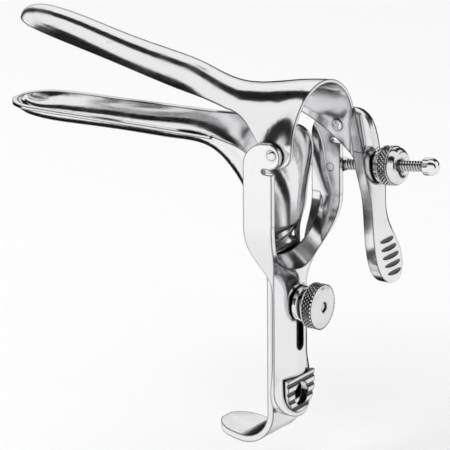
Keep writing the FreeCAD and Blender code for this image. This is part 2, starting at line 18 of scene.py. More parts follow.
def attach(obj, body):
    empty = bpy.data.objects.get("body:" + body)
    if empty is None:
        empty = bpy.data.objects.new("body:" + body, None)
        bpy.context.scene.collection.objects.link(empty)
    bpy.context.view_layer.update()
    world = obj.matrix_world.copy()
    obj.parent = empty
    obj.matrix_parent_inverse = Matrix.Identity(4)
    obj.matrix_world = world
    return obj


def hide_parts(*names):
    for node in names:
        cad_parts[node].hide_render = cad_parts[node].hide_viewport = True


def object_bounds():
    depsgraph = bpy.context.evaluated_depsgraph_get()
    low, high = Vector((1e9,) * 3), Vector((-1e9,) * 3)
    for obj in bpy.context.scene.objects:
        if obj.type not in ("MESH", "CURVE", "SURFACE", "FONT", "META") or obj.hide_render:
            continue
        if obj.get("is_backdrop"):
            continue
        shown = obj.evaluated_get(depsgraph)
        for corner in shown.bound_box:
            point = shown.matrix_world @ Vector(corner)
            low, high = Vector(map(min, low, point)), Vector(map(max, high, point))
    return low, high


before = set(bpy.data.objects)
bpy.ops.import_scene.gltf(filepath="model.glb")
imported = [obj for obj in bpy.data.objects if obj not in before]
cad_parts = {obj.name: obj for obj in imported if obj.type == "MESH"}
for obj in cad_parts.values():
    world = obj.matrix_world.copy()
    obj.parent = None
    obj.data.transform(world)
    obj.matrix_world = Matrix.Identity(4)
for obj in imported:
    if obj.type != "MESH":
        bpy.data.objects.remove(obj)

log = logging.getLogger("speculum")

MM = 0.001
MERGE_DISTANCE = 1e-7
BORE_GAP = 0.05 * MM
STEPS_PER_TOOTH = 6


class Slot(Enum):
    """The record's material slots."""

    POLISHED = "polished_steel"
    RIVET = "rivet_steel"
    SCREW = "screw_steel"
    KNURLED = "knurled_steel"


@dataclass(frozen=True)
class SteelFinish:
    """One finish of the steel: its colour, its polish, how far it is worn, and how strong its
    painted shade and painted dark edge lines are.
    """

    slot: Slot
    tint: tuple[float, float, float]
    roughness: float
    grain_size: float
    grain_stretch: tuple[float, float, float]
    grain_depth: float
    smudge: float
    edge_radius: float
    # Strength of the painted shade in corners and grooves.
    corner_shade: float
    # Strength of the painted dark line of shade along rounded edges and where the surface turns
    # from view.
    outline: float


POLISHED = SteelFinish(
    slot=Slot.POLISHED, tint=(0.83, 0.83, 0.84), roughness=0.10,
    grain_size=0.35 * MM, grain_stretch=(0.12, 1.0, 1.0), grain_depth=0.0025 * MM,
    smudge=0.10, edge_radius=0.85 * MM, corner_shade=0.95, outline=0.94,
)
RIVETED = SteelFinish(
    slot=Slot.RIVET, tint=(0.80, 0.80, 0.81), roughness=0.12,
    grain_size=0.25 * MM, grain_stretch=(1.0, 1.0, 1.0), grain_depth=0.0020 * MM,
    smudge=0.08, edge_radius=0.15 * MM, corner_shade=0.80, outline=0.50,
)
SCREWED = SteelFinish(
    slot=Slot.SCREW, tint=(0.70, 0.70, 0.71), roughness=0.18,
    grain_size=0.20 * MM, grain_stretch=(1.0, 1.0, 1.0), grain_depth=0.0030 * MM,
    smudge=0.12, edge_radius=0.03 * MM, corner_shade=0.97, outline=0.20,
)
KNURLED = SteelFinish(
    slot=Slot.KNURLED, tint=(0.76, 0.76, 0.77), roughness=0.13,
    grain_size=0.22 * MM, grain_stretch=(1.0, 0.4, 0.4), grain_depth=0.0025 * MM,
    smudge=0.10, edge_radius=0.03 * MM, corner_shade=0.97, outline=0.20,
)

# What the marks, the painted highlight and the painted shade do to the colour and the polish.
# Painted highlight beside the edges, which also stands for worn edges.
WORN_AND_HIGHLIT_STEEL = (0.96, 0.96, 0.97, 1.0)
SCUFFED_STEEL = (0.86, 0.86, 0.87, 1.0)
# Painted shade in corners and grooves.
PAINTED_SHADE = (0.10, 0.10, 0.105, 1.0)
# Painted dark line of shade along rounded edges and where the surface turns from view.
PAINTED_EDGE_SHADE = (0.03, 0.03, 0.032, 1.0)
SCRATCH_SHARE = 0.6
# How dark the painted shade in grooves goes.
GROOVE_SHARE = 0.97
# Where the surface turns from view it is darkened as painted shade.
TURNED_FROM = 0.66
TURNED_TO = 0.93
TURNED_SHARE = 0.93
GRAIN_DULLS = 0.05
EDGE_DULLS = 0.10
BEVEL_SHARE = 0.4
GRAIN_STRENGTH = 0.5

# Polishing marks. The scales are in cells per metre.
GRAIN_DETAIL = 3.0
GRAIN_CONTRAST = 0.6
WANDER_SCALE = 90.0
WANDER_DETAIL = 2.0
WANDER_REACH = 4.0 * MM
SCRATCH_SCALE = 210.0
SCRATCH_WIDTH = 0.012
GAP_SCALE = 160.0
GAP_DETAIL = 1.0
GAP_LEVEL = 0.56
SMUDGE_SCALE = 48.0
SMUDGE_DETAIL = 4.0
SMUDGE_CONTRAST = 0.62
SMUDGE_FROM = 0.48
SMUDGE_TO = 0.72

# Edges and corners, for the painted dark edge lines, the painted highlight beside them and the
# painted shade in corners. The bend is 1 less the cosine between the rounded and the plain normal.
BEVEL_SAMPLES = 6
CORNER_SAMPLES = 8
BEND_START = 0.012
BEND_GAIN = 45.0
HIGHLIGHT_GAIN = 2.0
CORNER_GAIN = 3.2
CORNER_POWER = 1.4


@dataclass
class Wiring:
    """A node tree with short calls to place its nodes and to join them."""

    tree: bpy.types.NodeTree

    def add(self, kind: str, **settings: object) -> bpy.types.Node:
        """Place a node.

        Args:
            kind: The node's class name, without its leading "ShaderNode".
            settings: Properties of the node, and numbers for its inputs by name with _ for a space.

        Returns:
            The new node.
        """
        node = self.tree.nodes.new("ShaderNode" + kind)
        for name, value in settings.items():
            if hasattr(node, name):
                setattr(node, name, value)
            else:
                node.inputs[name.replace("_", " ")].default_value = value
        return node

    def join(self, source: bpy.types.NodeSocket, target: bpy.types.NodeSocket) -> None:
        """Join an output to an input."""
        self.tree.links.new(source, target)

    def fill(self, target: bpy.types.NodeSocket, value: object) -> None:
        """Join an input to a socket, or set it to a number, vector or colour."""
        if isinstance(value, bpy.types.NodeSocket):
            self.join(value, target)
        else:
            target.default_value = value

    def math(self, operation: str, *values: object, clamp: bool = False) -> bpy.types.NodeSocket:
        """Place a Math node.

        Args:
            operation: The Math node's operation.
            values: A socket or a number for each input.
            clamp: Whether the result is held between 0 and 1.

        Returns:
            The result's socket.
        """
        node = self.add("Math", operation=operation, use_clamp=clamp)
        for target, value in zip(node.inputs, values):
            self.fill(target, value)
        return node.outputs[0]

    def vector(self, operation: str, *values: object) -> bpy.types.Node:
        """Place a Vector Math node.

        Args:
            operation: The Vector Math node's operation.
            values: A socket or a vector for each input.

        Returns:
            The node.
        """
        node = self.add("VectorMath", operation=operation)
        for target, value in zip(node.inputs, values):
            self.fill(target, value)
        return node

    def mix(self, factor: bpy.types.NodeSocket, first: object, second: object,
            blend: str = "MIX") -> bpy.types.NodeSocket:
        """Place a node that mixes two colours.

        Args:
            factor: How much of the second colour is taken.
            first: The first colour, or its socket.
            second: The second colour, or its socket.
            blend: How the second colour is laid over the first.

        Returns:
            The mixed colour's socket.
        """
        node = self.add("Mix", data_type="RGBA", blend_type=blend)
        for label, value in (("Factor", factor), ("A", first), ("B", second)):
            self.fill(node.inputs[label], value)
        return node.outputs["Result"]


@dataclass
class Group:
    """An empty shader group with named sockets."""

    name: str
    inputs: dict[str, float]
    outputs: tuple[str, ...]
    wiring: Wiring = field(init=False)
    given: bpy.types.NodeOutputs = field(init=False)
    made: bpy.types.NodeInputs = field(init=False)

    def __post_init__(self) -> None:
        """Make the group's tree and its two ends."""
        tree = bpy.data.node_groups.new(self.name, "ShaderNodeTree")
        for label, value in self.inputs.items():
            socket = tree.interface.new_socket(label, in_out="INPUT", socket_type="NodeSocketFloat")
            socket.default_value = value
        for label in self.outputs:
            tree.interface.new_socket(label, in_out="OUTPUT", socket_type="NodeSocketFloat")
        self.wiring = Wiring(tree)
        self.given = tree.nodes.new("NodeGroupInput").outputs
        self.made = tree.nodes.new("NodeGroupOutput").inputs


def polish_group() -> bpy.types.NodeTree:
    """Build the group for polishing lines, fine scratches and finger marks.

    Returns:
        The group. Its outputs are the grain's height, the scratches and the marks, each 0 to 1.
    """
    group = Group(
        "polishing_marks",
        {"Size": 0.3 * MM, "Stretch X": 1.0, "Stretch Y": 1.0, "Stretch Z": 1.0},
        ("Grain", "Scratches", "Smudges"),
    )
    wiring, given, made = group.wiring, group.given, group.made
    place = wiring.add("TexCoord").outputs["Object"]
    stretch = wiring.add("CombineXYZ")
    for axis in "XYZ":
        wiring.join(given["Stretch " + axis], stretch.inputs[axis])
    drawn = wiring.vector("MULTIPLY", place, stretch.outputs[0])
    grain = wiring.add("TexNoise", Detail=GRAIN_DETAIL, Roughness=GRAIN_CONTRAST)
    wiring.join(drawn.outputs[0], grain.inputs["Vector"])
    wiring.join(wiring.math("DIVIDE", 1.0, given["Size"]), grain.inputs["Scale"])
    wiring.join(grain.outputs["Fac"], made["Grain"])

    bent = wiring.add("TexNoise", Scale=WANDER_SCALE, Detail=WANDER_DETAIL)
    wiring.join(place, bent.inputs["Vector"])
    shift = wiring.vector("MULTIPLY_ADD", bent.outputs["Color"], (WANDER_REACH,) * 3, place)
    lines = wiring.add("TexVoronoi", feature="DISTANCE_TO_EDGE", Scale=SCRATCH_SCALE)
    wiring.join(shift.outputs[0], lines.inputs["Vector"])
    narrow = wiring.math("LESS_THAN", lines.outputs["Distance"], SCRATCH_WIDTH)
    broken = wiring.add("TexNoise", Scale=GAP_SCALE, Detail=GAP_DETAIL)
    wiring.join(place, broken.inputs["Vector"])
    kept = wiring.math("GREATER_THAN", broken.outputs["Fac"], GAP_LEVEL)
    wiring.join(wiring.math("MULTIPLY", narrow, kept), made["Scratches"])

    marks = wiring.add("TexNoise", Scale=SMUDGE_SCALE, Detail=SMUDGE_DETAIL,
                       Roughness=SMUDGE_CONTRAST)
    wiring.join(place, marks.inputs["Vector"])
    spread = wiring.add("MapRange", interpolation_type="SMOOTHSTEP", From_Min=SMUDGE_FROM,
                        From_Max=SMUDGE_TO)
    wiring.join(marks.outputs["Fac"], spread.inputs["Value"])
    wiring.join(spread.outputs["Result"], made["Smudges"])
    return wiring.tree


def edge_group() -> bpy.types.NodeTree:
    """Build the group that finds rounded edges, the line beside them and corners, for painted dark
    edge lines, a painted highlight that also stands for wear, and painted shade in corners.

    Returns:
        The group. Its outputs are the edges, the line of painted highlight beside them and the
        corners, each from 0 to 1.
    """
    group = Group("edges_and_corners", {"Radius": 0.2 * MM, "Reach": 1.5 * MM},
                  ("Edge", "Highlight", "Corner"))
    wiring, given, made = group.wiring, group.given, group.made
    rounded_normal = wiring.add("Bevel", samples=BEVEL_SAMPLES)
    wiring.join(given["Radius"], rounded_normal.inputs["Radius"])
    plain = wiring.add("NewGeometry").outputs["Normal"]
    # Edge: where the rounded normal turns, which the finish paints as a dark line of shade.
    turned = wiring.vector("DOT_PRODUCT", rounded_normal.outputs[0], plain)
    bend = wiring.math("SUBTRACT", 1.0, turned.outputs["Value"])
    start = wiring.math("SUBTRACT", bend, BEND_START)
    edge = wiring.math("MULTIPLY", start, BEND_GAIN, clamp=True)
    wiring.join(edge, made["Edge"])
    # Highlight: a painted bright line beside each edge, which also stands for wear.
    beside = wiring.math("MULTIPLY", edge, wiring.math("SUBTRACT", 1.0, edge))
    wiring.join(wiring.math("MULTIPLY", beside, HIGHLIGHT_GAIN, clamp=True), made["Highlight"])
    # Corner: painted shade where ambient occlusion finds nearby surfaces.
    shut = wiring.add("AmbientOcclusion", samples=CORNER_SAMPLES)
    wiring.join(given["Reach"], shut.inputs["Distance"])
    closed = wiring.math("SUBTRACT", 1.0, shut.outputs["AO"])
    dark = wiring.math("MULTIPLY", closed, CORNER_GAIN, clamp=True)
    wiring.join(wiring.math("POWER", dark, CORNER_POWER, clamp=True), made["Corner"])
    return wiring.tree


@dataclass(frozen=True)
class GrooveRow:
    """A row of round grooves across a pad: the first one's axis and the steps to the next."""

    first_x: float
    first_z: float
    pitch: float
    lean: float
    count: int
    radius: float
    near_y: float
    far_y: float


THUMB_GROOVES = GrooveRow(
    first_x=16.75 * MM, first_z=-41.0 * MM, pitch=3.1 * MM, lean=0.279 * MM, count=5,
    radius=0.80 * MM, near_y=15.0 * MM, far_y=45.0 * MM,
)
GRIP_GROOVES = GrooveRow(
    first_x=-2.35 * MM, first_z=-88.6 * MM, pitch=3.1 * MM, lean=0.0, count=4,
    radius=0.75 * MM, near_y=-14.0 * MM, far_y=14.0 * MM,
)
GROOVE_MARGIN = 0.05 * MM


def groove_group(row: GrooveRow, name: str) -> bpy.types.NodeTree:
    """Build the group that finds the walls of a row of grooves, where shade is painted.

    Args:
        row: The grooves.
        name: The group's name.

    Returns:
        The group. Its output is 1 in a groove and 0 elsewhere.
    """
    group = Group(name, {"Radius": row.radius + GROOVE_MARGIN}, ("Groove",))
    wiring = group.wiring
    split = wiring.add("SeparateXYZ")
    wiring.join(wiring.add("TexCoord").outputs["Object"], split.inputs[0])
    x, y, z = split.outputs
    steps = wiring.math("DIVIDE", wiring.math("SUBTRACT", row.first_z, z), row.pitch)
    counted = wiring.math("MAXIMUM", wiring.math("ROUND", steps), 0.0)
    nearest = wiring.math("MINIMUM", counted, row.count - 1.0)
    rise = wiring.math("SUBTRACT", wiring.math("SUBTRACT", z, row.first_z),
                       wiring.math("MULTIPLY", nearest, -row.pitch))
    reach = wiring.math("SUBTRACT", wiring.math("SUBTRACT", x, row.first_x),
                        wiring.math("MULTIPLY", nearest, row.lean))
    squares = wiring.math("ADD", wiring.math("MULTIPLY", rise, rise),
                          wiring.math("MULTIPLY", reach, reach))
    inside = wiring.math("LESS_THAN", wiring.math("SQRT", squares), group.given["Radius"])
    across = wiring.math("MULTIPLY", wiring.math("GREATER_THAN", y, row.near_y),
                         wiring.math("LESS_THAN", y, row.far_y))
    wiring.join(wiring.math("MULTIPLY", inside, across), group.made["Groove"])
    return wiring.tree


@dataclass
class Steelwork:
    """The steel finishes, each made once as a material."""

    groups: dict[str, bpy.types.NodeTree] = field(default_factory=dict)
    made: dict[Slot, bpy.types.Material] = field(default_factory=dict)

    def prepare(self) -> None:
        """Build the groups and a material for each finish."""
        self.groups = {"polish": polish_group(), "edge": edge_group(),
                       "thumb": groove_group(THUMB_GROOVES, "thumb_grooves"),
                       "grip": groove_group(GRIP_GROOVES, "grip_grooves")}
        for finish in (POLISHED, RIVETED, SCREWED, KNURLED):
            self.made[finish.slot] = self.material(finish)
            log.info("finish %s", finish.slot.value)

    def material(self, finish: SteelFinish) -> bpy.types.Material:
        """Make the material of one finish.

        Args:
            finish: What the steel looks like.

        Returns:
            The material.
        """
        material = bpy.data.materials.new(finish.slot.value + "_look")
        material.use_nodes = True
        wiring = Wiring(material.node_tree)
        shader = material.node_tree.nodes["Principled BSDF"]
        shader.inputs["Metallic"].default_value = 1.0
        polish = wiring.add("Group", node_tree=self.groups["polish"], Size=finish.grain_size)
        for axis, stretch in zip("XYZ", finish.grain_stretch):
            polish.inputs["Stretch " + axis].default_value = stretch
        edges = wiring.add("Group", node_tree=self.groups["edge"], Radius=finish.edge_radius)
        colour = self.colour(wiring, finish, polish.outputs, edges.outputs)
        wiring.join(colour, shader.inputs["Base Color"])

        dulled = wiring.math("MULTIPLY_ADD", polish.outputs["Smudges"], finish.smudge,
                             finish.roughness)
        rough = wiring.math("MULTIPLY_ADD", polish.outputs["Grain"], GRAIN_DULLS, dulled)
        worn = wiring.math("MULTIPLY_ADD", edges.outputs["Edge"], EDGE_DULLS, rough)
        wiring.join(worn, shader.inputs["Roughness"])

        soft = wiring.add("Bevel", samples=BEVEL_SAMPLES, Radius=finish.edge_radius * BEVEL_SHARE)
        relief = wiring.add("Bump", Strength=GRAIN_STRENGTH, Distance=finish.grain_depth)
        wiring.join(polish.outputs["Grain"], relief.inputs["Height"])
        wiring.join(soft.outputs[0], relief.inputs["Normal"])
        wiring.join(relief.outputs[0], shader.inputs["Normal"])
        return material

    def colour(self, wiring: Wiring, finish: SteelFinish, polish: bpy.types.NodeOutputs,
               edges: bpy.types.NodeOutputs) -> bpy.types.NodeSocket:
        """Build the steel's colour: tint, a painted highlight beside the edges that also stands for
        worn edges, scuffs, painted shade in corners and grooves, and painted dark lines of shade
        along edges and where the surface turns from view.

        Args:
            wiring: The material's wiring.
            finish: What the steel looks like.
            polish: The outputs of the polishing marks.
            edges: The outputs of the edges and corners.

        Returns:
            The colour's socket.
        """
        # A painted highlight beside the edges, which also stands for worn edges.
        worn = wiring.mix(edges["Highlight"], (*finish.tint, 1.0), WORN_AND_HIGHLIT_STEEL)
        scuffs = wiring.math("MAXIMUM", wiring.math("MULTIPLY", polish["Scratches"], SCRATCH_SHARE),
                             wiring.math("MULTIPLY", polish["Smudges"], finish.smudge))
        marked = wiring.mix(scuffs, worn, SCUFFED_STEEL, "MULTIPLY")
        # Painted shade in corners and grooves.
        shut = wiring.math("MAXIMUM", wiring.math("MULTIPLY", edges["Corner"], finish.corner_shade),
                           wiring.math("MULTIPLY", self.grooves(wiring, finish), GROOVE_SHARE))
        shaded = wiring.mix(shut, marked, PAINTED_SHADE)
        # Painted dark lines of shade along rounded edges and where the surface turns from view.
        turned_away = wiring.add("MapRange", interpolation_type="SMOOTHSTEP",
                                 From_Min=TURNED_FROM, From_Max=TURNED_TO)
        facing = wiring.add("LayerWeight", Blend=0.5).outputs["Facing"]
        wiring.join(facing, turned_away.inputs["Value"])
        drawn = wiring.math("MAXIMUM", wiring.math("MULTIPLY", edges["Edge"], finish.outline),
                            wiring.math("MULTIPLY", turned_away.outputs["Result"], TURNED_SHARE))
        return wiring.mix(drawn, shaded, PAINTED_EDGE_SHADE)

    def grooves(self, wiring: Wiring, finish: SteelFinish) -> bpy.types.NodeSocket:
        """Build the mask of the grooves where shade is painted: knurls, thread and the pads'
        pressed rows.

        Args:
            wiring: The material's wiring.
            finish: What the steel looks like.

        Returns:
            The mask's socket.
        """
        found = wiring.add("Attribute", attribute_name="groove").outputs["Fac"]
        if finish.slot is Slot.POLISHED:
            for row in ("thumb", "grip"):
                pressed = wiring.add("Group", node_tree=self.groups[row])
                found = wiring.math("MAXIMUM", found, pressed.outputs["Groove"])
        return found

    def dress(self, piece: bpy.types.Object, slot: Slot) -> None:
        """Give a piece its finish in every material slot.

        Args:
            piece: The piece.
            slot: The record's slot whose finish it takes.
        """
        if not piece.material_slots:
            piece.data.materials.append(self.made[slot])
        for place in piece.material_slots:
            place.material = self.made[slot]


def add_mesh(name: str, points: list[Vector], faces: list[tuple[int, ...]],
             smooth: bool = True, depths: list[float] | None = None) -> bpy.types.Object:
    """Make a mesh object with outward faces.

    Args:
        name: The piece's name.
        points: Its corners in metres.
        faces: Its faces as corner numbers.
        smooth: Whether it is shaded as a round surface.
        depths: How far each corner lies in a groove, in metres, where the finish paints shade.

    Returns:
        The new object.
    """
    mesh = bpy.data.meshes.new(name)
    mesh.from_pydata(points, [], faces)
    if depths and max(depths) > 0.0:
        deepest = max(depths)
        kept = mesh.attributes.new("groove", "FLOAT", "POINT")
        kept.data.foreach_set("value", [depth / deepest for depth in depths])
    worked = bmesh.new()
    worked.from_mesh(mesh)
    bmesh.ops.remove_doubles(worked, verts=worked.verts, dist=MERGE_DISTANCE)
    bmesh.ops.recalc_face_normals(worked, faces=worked.faces)
    for face in worked.faces:
        face.smooth = smooth
    worked.to_mesh(mesh)
    worked.free()
    piece = bpy.data.objects.new(name, mesh)
    bpy.context.scene.collection.objects.link(piece)
    return piece


def sharpen(piece: bpy.types.Object, degrees: float = 32.0) -> None:
    """Keep the edges of a smooth mesh crisp where it turns by more than an angle.

    Args:
        piece: The piece.
        degrees: The angle.
    """
    worked = bmesh.new()
    worked.from_mesh(piece.data)
    limit = math.radians(degrees)
    for edge in worked.edges:
        edge.smooth = len(edge.link_faces) == 2 and edge.calc_face_angle(0.0) < limit
    worked.to_mesh(piece.data)
    worked.free()


@dataclass
class Turning:
    """A lathe: an axis with a start, along which a profile is turned."""

    start: Vector
    along: Vector
    across: Vector
    steps: int

    def point(self, reach: float, radius: float, angle: float) -> Vector:
        """Return a point at a reach along the axis, a radius and an angle round it."""
        side = self.along.cross(self.across)
        outward = self.across * math.cos(angle) + side * math.sin(angle)
        return self.start + self.along * reach + outward * radius

    def turn(self, name: str, rings: list[tuple[float, float]],
             relief: Callable[[float, float], float], closed: bool = False) -> bpy.types.Object:
        """Turn a profile into a mesh.

        Args:
            name: The piece's name.
            rings: The profile as (reach, radius) in metres. A radius of 0 is a point on the axis.
            relief: What a point at (reach, angle) gains in radius.
            closed: Whether the last ring joins the first, as round a bore.

        Returns:
            The turned piece.
        """
        points: list[Vector] = []
        depths: list[float] = []
        for reach, radius in rings:
            for step in range(self.steps):
                angle = 2 * math.pi * step / self.steps
                sunk = relief(reach, angle) if radius > 0 else 0.0
                points.append(self.point(reach, radius + sunk, angle))
                depths.append(-sunk)
        faces = []
        count = len(rings)
        for ring in range(count if closed else count - 1):
            low, high = ring * self.steps, (ring + 1) % count * self.steps
            for step in range(self.steps):
                following = (step + 1) % self.steps
                faces.append((low + step, low + following, high + following, high + step))
        return add_mesh(name, points, faces, depths=depths)


def ramp(value: float) -> float:
    """Return a wave that rises from 0 to 1 and falls back once in each unit."""
    return 1.0 - abs(2.0 * (value % 1.0) - 1.0)


def band(start: float, end: float, radius: float, count: int) -> list[tuple[float, float]]:
    """Return the profile of a round band as evenly spaced rings.

    Args:
        start: Where the band starts along the axis, in metres.
        end: Where it ends.
        radius: Its radius.
        count: How many steps it has.

    Returns:
        The rings as (reach, radius).
    """
    return [(start + (end - start) * row / count, radius) for row in range(count + 1)]


@dataclass(frozen=True)
class DiamondKnurl:
    """Two sets of crossed grooves rolled into a round band."""

    start: float
    end: float
    radius: float
    teeth: int
    depth: float
    steepness: float = 1.35
    run_out: float = 0.25 * MM
    rows_each: int = 6

    @property
    def pitch(self) -> float:
        """Return how far along the band one diamond reaches."""
        return 2 * math.pi * self.radius / self.teeth

    def height(self, reach: float, angle: float) -> float:
        """Return how far below the band's radius the grooves go at a place, as a negative."""
        if not self.start <= reach <= self.end:
            return 0.0
        turns, rows = self.teeth * angle / (2 * math.pi), (reach - self.start) / self.pitch
        rise = min(ramp(turns + rows), ramp(turns - rows))
        fade = min(1.0, (reach - self.start) / self.run_out, (self.end - reach) / self.run_out)
        return -self.depth * (1.0 - min(1.0, self.steepness * rise)) * fade

    def rings(self) -> list[tuple[float, float]]:
        """Return the band's profile, with rings close enough to show the grooves."""
        count = max(2, round((self.end - self.start) / self.pitch * self.rows_each))
        return band(self.start, self.end, self.radius, count)


@dataclass(frozen=True)
class ScrewThread:
    """A thread cut into a bar."""

    start: float
    end: float
    radius: float
    pitch: float = 1.10 * MM
    depth: float = 0.38 * MM
    steepness: float = 1.25
    rows_each: int = 8

    def height(self, reach: float, angle: float) -> float:
        """Return how far below the bar's radius the thread goes at a place, as a negative."""
        if not self.start <= reach <= self.end:
            return 0.0
        rise = ramp(reach / self.pitch - angle / (2 * math.pi))
        fade = min(1.0, (reach - self.start) / self.pitch, (self.end - reach) / self.pitch)
        return -self.depth * (1.0 - min(1.0, self.steepness * rise)) * fade

    def rings(self) -> list[tuple[float, float]]:
        """Return the threaded bar's profile, with rings close enough to show the thread."""
        count = round((self.end - self.start) / self.pitch * self.rows_each)
        return band(self.start, self.end, self.radius, count)


def rounded(corner: tuple[float, float], before: tuple[float, float], after: tuple[float, float],
            radius: float, steps: int = 3) -> list[tuple[float, float]]:
    """Return the points that round one corner of a profile.

    Args:
        corner: The corner as (reach, radius).
        before: The profile's point before it.
        after: The profile's point after it.
        radius: How far from the corner the rounding starts.
        steps: How many edges the rounding has.

    Returns:
        The rounding's points in order.
    """
    middle, first, last = Vector(corner), Vector(before), Vector(after)
    enter = middle + (first - middle).normalized() * radius
    leave = middle + (last - middle).normalized() * radius
    found = []
    for step in range(steps + 1):
        share = step / steps
        spot = enter * (1 - share) ** 2 + middle * 2 * share * (1 - share) + leave * share**2
        found.append((spot.x, spot.y))
    return found


@dataclass
class AngleScrew:
    """The screw that sets the upper blade's angle: rod, collar, nut and end cap, in metres."""

    pivot: Vector = field(default_factory=lambda: Vector((-4.0, 25.3, -16.4)) * MM)
    lean: float = math.radians(7.7)
    rod_radius: float = 1.9 * MM
    rod_reach: float = 36.2 * MM
    rod_steps: int = 40
    bar_overlap: float = 1.1 * MM
    eye_radius: float = 3.1 * MM
    eye_thick: float = 3.2 * MM
    eye_steps: int = 40
    pin_hole: float = 1.35 * MM
    neck_end: float = 4.6 * MM
    nut_front: float = 20.4 * MM
    nut_radius: float = 7.0 * MM
    nut_band: float = 4.2 * MM
    nut_edge: float = 0.4 * MM
    nut_step: float = 0.35 * MM
    nut_step_run: float = 0.1 * MM
    nut_nose: float = 2.6 * MM
    nut_nose_radius: float = 4.4 * MM
    nose_steps: int = 12
    nut_teeth: int = 30
    knurl_start: float = 0.55 * MM
    knurl_depth: float = 0.60 * MM
    mouth_wide: float = 0.9 * MM
    mouth_from: float = 0.5 * MM
    mouth_to: float = 0.9 * MM
    bar_crease: float = 50.0
    nut_crease: float = 40.0

    @property
    def along(self) -> Vector:
        """Return the rod's direction to the rear."""
        return Vector((math.cos(self.lean), 0.0, math.sin(self.lean)))

    @property
    def across(self) -> Vector:
        """Return the direction across the rod in its own plane, upwards."""
        return Vector((-math.sin(self.lean), 0.0, math.cos(self.lean)))

    def lathe(self, start: float, steps: int) -> Turning:
        """Return a lathe on the rod's axis that starts at a reach from the pivot."""
        return Turning(self.pivot + self.along * start, self.along, self.across, steps)

    def build_rod(self) -> bpy.types.Object:
        """Build the threaded rod with its flattened eye.

        Returns:
            The rod, as one piece.
        """
        thread = ScrewThread(self.neck_end, self.rod_reach, self.rod_radius)
        start = self.neck_end - self.bar_overlap
        profile = [(start, 0.0), (start, self.rod_radius), *thread.rings(), (self.rod_reach, 0.0)]
        bar = self.lathe(0.0, self.rod_steps).turn("angle_screw_rod", profile, thread.height)
        eye = self.build_eye()
        worked = bmesh.new()
        worked.from_mesh(bar.data)
        worked.from_mesh(eye.data)
        worked.to_mesh(bar.data)
        worked.free()
        bpy.data.objects.remove(eye)
        sharpen(bar, self.bar_crease)
        return bar

    def build_eye(self) -> bpy.types.Object:
        """Build the flat eye with its neck and pin hole.

        Returns:
            The eye.
        """
        half = self.eye_thick / 2
        turn_off = math.acos((self.eye_radius - self.rod_radius) / self.neck_end)
        outer, inner = [], []
        for step in range(self.eye_steps + 1):
            angle = turn_off + (2 * math.pi - 2 * turn_off) * step / self.eye_steps
            turned = (math.cos(angle), math.sin(angle))
            outer.append((self.eye_radius * turned[0], self.eye_radius * turned[1]))
            inner.append((self.pin_hole * turned[0], self.pin_hole * turned[1]))
        outer += [(self.neck_end, -self.rod_radius), (self.neck_end, self.rod_radius)]
        front = self.pin_hole * math.cos(turn_off / 3)
        side = self.pin_hole * math.sin(turn_off / 3)
        inner += [(front, -side), (front, side)]
        points, faces = [], []
        for level in (-half, half):
            for loop in (outer, inner):
                points += [self.pivot + self.along * reach + self.across * rise
                           + Vector((0, level, 0)) for reach, rise in loop]
        count = len(outer)
        for step in range(count):
            following = (step + 1) % count
            for low, high in ((0, count), (2 * count, 3 * count), (0, 2 * count),
                              (count, 3 * count)):
                faces.append((low + step, low + following, high + following, high + step))
        return add_mesh("rod_eye", points, faces)

    def build_nut(self) -> bpy.types.Object:
        """Build the knurled nut with its bright domed nose.

        Returns:
            The nut.
        """
        knurl = DiamondKnurl(self.knurl_start, self.nut_band - self.nut_step, self.nut_radius,
                             self.nut_teeth, self.knurl_depth)
        bore = self.rod_radius + BORE_GAP
        rear = self.nut_band + self.nut_nose
        front_edge = rounded((0.0, self.nut_radius), (0.0, bore), (self.nut_band, self.nut_radius),
                             self.nut_edge)
        dome = self.nut_radius - self.nut_step - self.nut_nose_radius
        nose = []
        for step in range(1, self.nose_steps + 1):
            share = step / self.nose_steps * math.pi / 2
            nose.append((self.nut_band + self.nut_nose * math.sin(share),
                         self.nut_nose_radius + dome * math.cos(share)))
        shoulder = [(self.nut_band - self.nut_step_run, self.nut_radius),
                    (self.nut_band, self.nut_radius - self.nut_step)]
        mouth = [(rear - self.mouth_from, bore + self.mouth_wide), (rear - self.mouth_to, bore)]
        profile = [(0.0, bore), *front_edge, *knurl.rings(), *shoulder, *nose, *mouth]
        lathe = self.lathe(self.nut_front, self.nut_teeth * STEPS_PER_TOOTH)
        piece = lathe.turn("knurled_angle_nut", profile, knurl.height, closed=True)
        sharpen(piece, self.nut_crease)
        return piece

    def assemble(self, steel: Steelwork) -> None:
        """Build the pieces, place them on their bodies and give them their finish.

        Args:
            steel: The finishes.
        """
        for piece, body, node, slot in (
            (self.build_rod(), "rod", "angle_rod", Slot.SCREW),
            (self.build_nut(), "nut", "angle_nut", Slot.KNURLED),
        ):
            place_piece(piece, body, node, slot, steel)
        steel.dress(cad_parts["rod_cap"], Slot.POLISHED)
        steel.dress(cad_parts["angle_collar"], Slot.POLISHED)
        steel.dress(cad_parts["rod_pivot"], Slot.RIVET)


